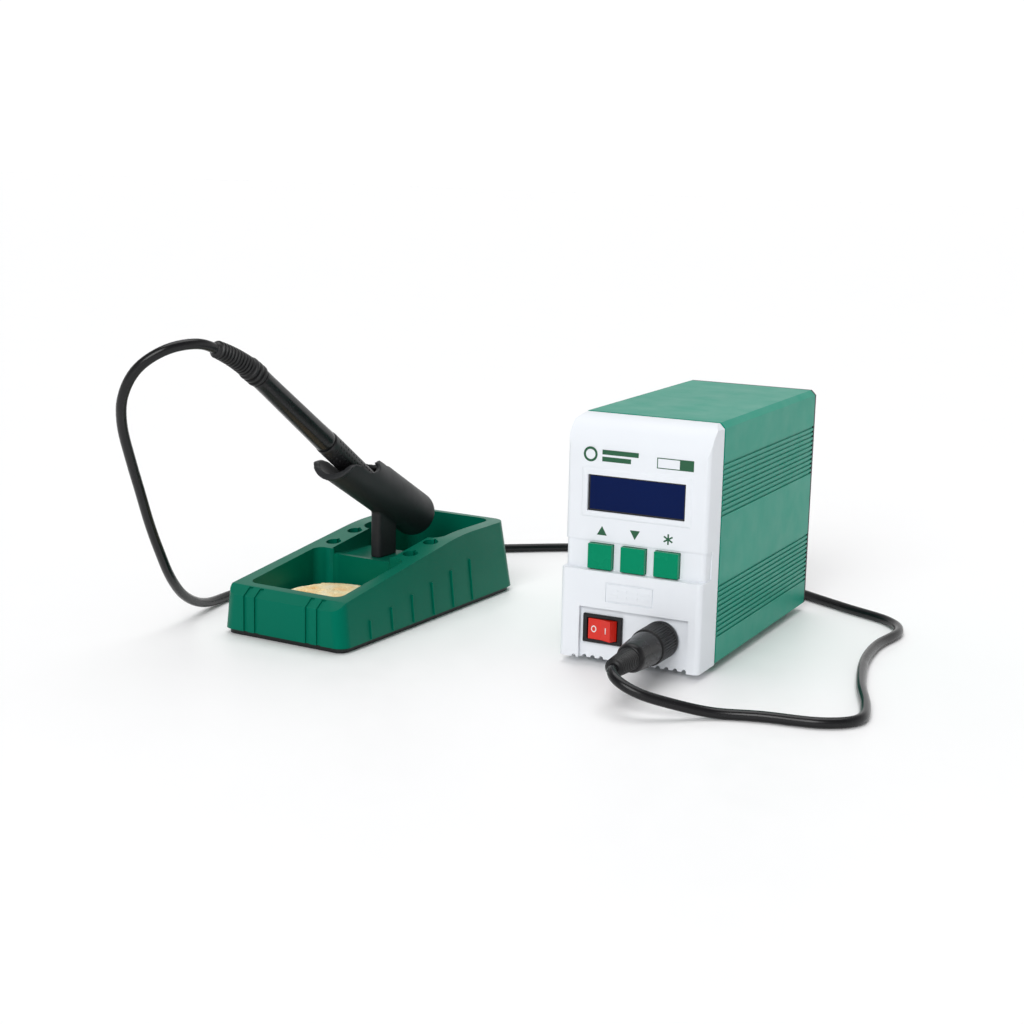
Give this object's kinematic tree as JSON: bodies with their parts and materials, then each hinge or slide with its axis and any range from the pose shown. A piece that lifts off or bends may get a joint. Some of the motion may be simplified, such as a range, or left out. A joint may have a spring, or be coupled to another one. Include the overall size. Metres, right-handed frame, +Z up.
{
  "type": "soldering iron station",
  "caption": "Temperature-controlled soldering iron station: a boxed control unit, and an iron resting in a sloped stand with a wiping sponge, joined by the iron's cord.",
  "frame": {"origin": "on the table, below the middle of the box round the control unit, the stand and the iron (cord and plug left out)", "axes": "+Z up, the control unit's front faces -Y, and the control unit is on the +X side of the stand"},
  "size_m": [0.3858, 0.393, 0.1654],
  "materials": {
    "green_metal": "satin powder coat",
    "white_plastic": "fine matt",
    "green_plastic": "satin",
    "green_gloss": "satin gloss",
    "black_metal": "matt",
    "black_plastic": "fine matt",
    "rubber": "matt",
    "steel": "satin",
    "tip_plating": "polished",
    "red_plastic": "gloss",
    "display_window": "clear, polished",
    "display": "gloss",
    "contacts": "plated",
    "circuit_board": "solder resist",
    "aluminium": "extruded",
    "capacitor_sleeve": "gloss",
    "fuse_glass": "clear",
    "core_steel": "varnished",
    "winding": "varnished copper wire",
    "ceramic": "matt",
    "lead_insulation": "matt",
    "cellulose": "open pores"
  },
  "bodies": {
    "station": {"case_shell": "green_metal", "front_fascia": "white_plastic", "fascia_screws": "steel", "rear_panel": "black_metal", "rear_panel_screws": "steel", "display_lens": "display_window", "lcd_module": "display", "lcd_carrier": "black_plastic", "front_board": "circuit_board", "front_board_screws": "steel", "tactile_switches": "black_plastic", "switch_body": "black_plastic", "switch_terminals": "contacts", "socket_shell": "steel", "socket_nut": "steel", "socket_insulator": "black_plastic", "socket_pins": "contacts", "mains_inlet": "black_plastic", "inlet_pins": "steel", "inlet_screws": "steel", "power_board": "circuit_board", "heat_sink": "aluminium", "capacitors": "capacitor_sleeve", "fuse": "fuse_glass", "transformer_core": "core_steel", "transformer_coil": "winding", "transformer_bracket": "steel", "transformer_screws": "steel", "case_feet": "rubber", "case_feet_screws": "steel", "stand_base": "green_plastic", "stand_base_plate": "black_plastic", "base_plate_screws": "steel", "iron_holder": "black_metal", "holder_screws": "steel", "cord_floor": "rubber", "plug_body": "black_plastic", "plug_boot": "rubber", "plug_insulator": "black_plastic"},
    "iron": {"handle_shell": "black_plastic", "grip_sleeve": "rubber", "barrel_nut": "black_plastic", "barrel": "steel", "heater_element": "ceramic", "soldering_tip": "tip_plating", "handle_board": "circuit_board", "heater_leads": "lead_insulation", "cord_boot": "rubber", "cord_arch": "rubber"},
    "up_button": {"button_up": "green_gloss"},
    "down_button": {"button_down": "green_gloss"},
    "set_button": {"button_set": "green_gloss"},
    "rocker": {"switch_rocker": "red_plastic"},
    "ring": {"plug_ring": "black_plastic"},
    "sponge": {"sponge": "cellulose"}
  },
  "joints": [
    {"name": "iron_lift", "type": "slide", "parent": "station", "child": "iron", "axis": [-0.0497, -0.8126, 0.5807], "range_m": [0, 0.11]},
    {"name": "up_press", "type": "slide", "parent": "station", "child": "up_button", "axis": [0, 1, 0], "range_m": [0, 0.001], "stiffness_N_per_m": 300, "springref_m": -0.001},
    {"name": "down_press", "type": "slide", "parent": "station", "child": "down_button", "axis": [0, 1, 0], "range_m": [0, 0.001], "stiffness_N_per_m": 300, "springref_m": -0.001},
    {"name": "set_press", "type": "slide", "parent": "station", "child": "set_button", "axis": [0, 1, 0], "range_m": [0, 0.001], "stiffness_N_per_m": 300, "springref_m": -0.001},
    {"name": "rocker_tilt", "type": "hinge", "parent": "station", "child": "rocker", "pos_m": [0.07412, -0.03065, 0.01985], "axis": [0, 0, 1], "range_deg": [0, 20]},
    {"name": "ring_turn", "type": "hinge", "parent": "station", "child": "ring", "pos_m": [0.10622, -0.045, 0.0195], "axis": [0, -1, 0], "range_deg": [0, 360]},
    {"name": "sponge_lift", "type": "slide", "parent": "station", "child": "sponge", "axis": [0, 0, 1], "range_m": [0, 0.04]}
  ]
}
